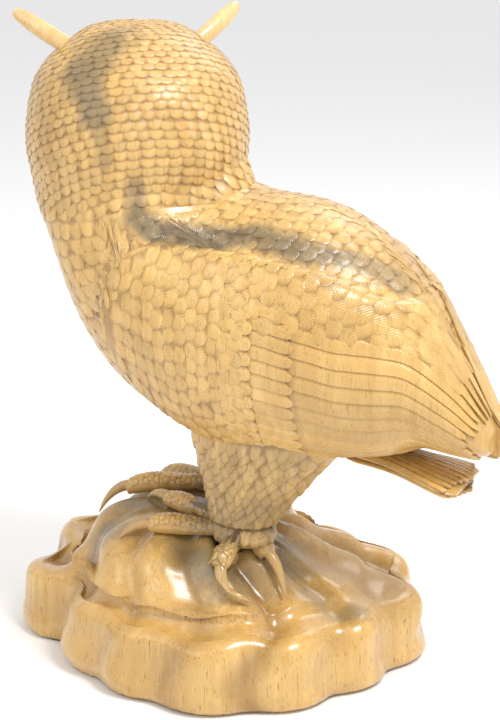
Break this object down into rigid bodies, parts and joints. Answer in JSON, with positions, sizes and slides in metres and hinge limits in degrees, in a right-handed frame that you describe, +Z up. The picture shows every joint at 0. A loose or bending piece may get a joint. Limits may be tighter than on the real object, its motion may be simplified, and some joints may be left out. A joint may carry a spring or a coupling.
{
  "type": "owl figurine",
  "caption": "Carved wooden owl standing on a lobed root plinth, head turned to look over its right shoulder, with horn-like ear tufts.",
  "frame": {"origin": "middle of the plinth's plan, on the surface that the felt stands on", "axes": "+Z up, the owl's breast towards -Y and its tail towards +Y, its own left towards +X"},
  "size_m": [0.2753, 0.4079, 0.49],
  "materials": {
    "plinth_wood": "varnished, golden sapwood with a grey-green heart on the mound",
    "body_wood": "varnished, carved with scale feathers",
    "head_wood": "varnished, carved with small scale feathers",
    "wing_wood": "varnished, carved with long feathers",
    "leg_wood": "varnished grey-green heartwood",
    "foot_wood": "varnished, carved with toe scutes",
    "claw_wood": "varnished and polished smooth",
    "tuft_wood": "varnished and polished smooth",
    "beak_wood": "dark stained, varnished",
    "peg_wood": "plain turned hardwood",
    "eye_glass": "polished amber",
    "pupil_glass": "polished black",
    "felt": "dark green felt"
  },
  "bodies": {
    "root": {"plinth": "plinth_wood", "felt_sheet": "felt", "torso": "body_wood", "head": "head_wood", "left_wing": "wing_wood", "right_wing": "wing_wood", "tail": "wing_wood", "left_leg": "leg_wood", "right_leg": "leg_wood", "left_foot": "foot_wood", "right_foot": "foot_wood", "left_claws": "claw_wood", "right_claws": "claw_wood", "left_ear_tuft": "tuft_wood", "right_ear_tuft": "tuft_wood", "left_eye": "eye_glass", "right_eye": "eye_glass", "left_pupil": "pupil_glass", "right_pupil": "pupil_glass", "beak": "beak_wood", "neck_peg": "peg_wood", "left_leg_peg": "peg_wood", "right_leg_peg": "peg_wood", "left_wing_pegs": "peg_wood", "right_wing_pegs": "peg_wood", "tail_peg": "peg_wood"}
  },
  "joints": []
}
